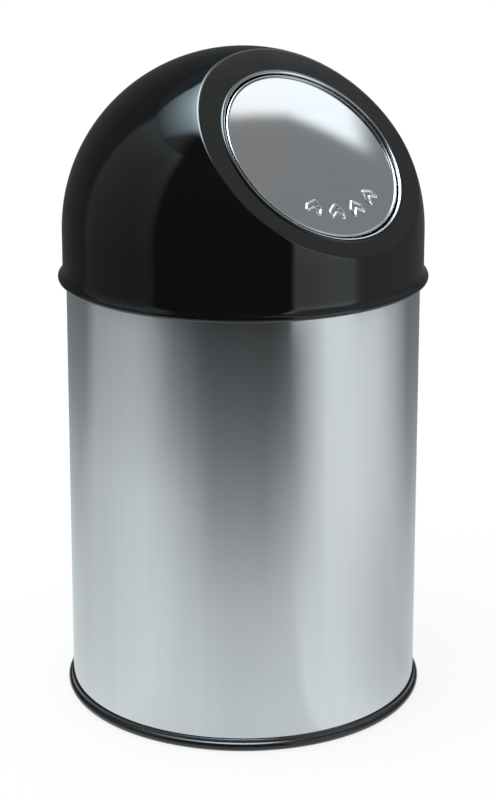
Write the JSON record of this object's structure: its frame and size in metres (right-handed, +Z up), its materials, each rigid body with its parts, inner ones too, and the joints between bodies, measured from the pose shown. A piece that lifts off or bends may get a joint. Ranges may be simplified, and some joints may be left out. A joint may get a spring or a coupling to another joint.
{
  "type": "dome top push bin",
  "caption": "Round floor waste bin: steel drum on a black base ring, domed lid with a sprung round push flap, and a lift-out bucket with a wire bail.",
  "frame": {"origin": "centre of the footprint, on the floor", "axes": "+Z up along the drum's axis; the flap faces -Y; +X is to the right of someone who faces the flap"},
  "size_m": [0.3138, 0.3138, 0.56],
  "materials": {
    "drum_steel": "satin, with a fine vertical grain",
    "flap_steel": "bright polished",
    "black_enamel": "gloss",
    "base_plastic": "gloss, lightly scuffed",
    "galvanised_sheet": "galvanised, spangled",
    "zinc_fasteners": "bright zinc plate",
    "bail_wire": "galvanised wire",
    "spring_steel": "drawn wire",
    "bumper_rubber": "matt"
  },
  "bodies": {
    "bin": {"body_shell": "drum_steel", "base_ring": "base_plastic", "bottom_plate": "galvanised_sheet", "base_screw_1": "zinc_fasteners", "base_screw_2": "zinc_fasteners", "base_screw_3": "zinc_fasteners", "base_screw_4": "zinc_fasteners"},
    "liner": {"liner_bucket": "galvanised_sheet", "bail_ear_right": "zinc_fasteners", "bail_ear_left": "zinc_fasteners", "ear_rivet_1": "zinc_fasteners", "ear_rivet_2": "zinc_fasteners", "ear_rivet_3": "zinc_fasteners", "ear_rivet_4": "zinc_fasteners"},
    "bail": {"bail_handle": "bail_wire"},
    "lid": {"dome_shell": "black_enamel", "lid_seat_ring": "black_enamel", "hinge_bracket": "zinc_fasteners", "hinge_pin": "zinc_fasteners", "pin_clip": "spring_steel", "hinge_stud_left": "zinc_fasteners", "hinge_stud_right": "zinc_fasteners", "hinge_nut_left": "zinc_fasteners", "hinge_nut_right": "zinc_fasteners", "flap_spring": "spring_steel"},
    "flap": {"flap_plate": "flap_steel", "flap_backing": "galvanised_sheet", "flap_strap": "zinc_fasteners", "strap_rivet_1": "zinc_fasteners", "strap_rivet_2": "zinc_fasteners", "strap_rivet_3": "zinc_fasteners", "stop_bumper": "bumper_rubber"}
  },
  "joints": [
    {"name": "liner_lift", "type": "slide", "parent": "bin", "child": "liner", "axis": [0, 0, 1], "range_m": [0, 0.4]},
    {"name": "lid_lift", "type": "slide", "parent": "liner", "child": "lid", "axis": [0, 0, 1], "range_m": [0, 0.22]},
    {"name": "bail_swing", "type": "hinge", "parent": "liner", "child": "bail", "pos_m": [0, 0, 0.3523], "axis": [1, 0, 0], "range_deg": [0, 180]},
    {"name": "flap_swing", "type": "hinge", "parent": "lid", "child": "flap", "pos_m": [0, -0.02919, 0.52224], "axis": [1, 0, 0], "range_deg": [0, 60], "stiffness_Nm_per_rad": 0.15, "springref_deg": -114.59, "deforming": ["flap_spring"]}
  ]
}
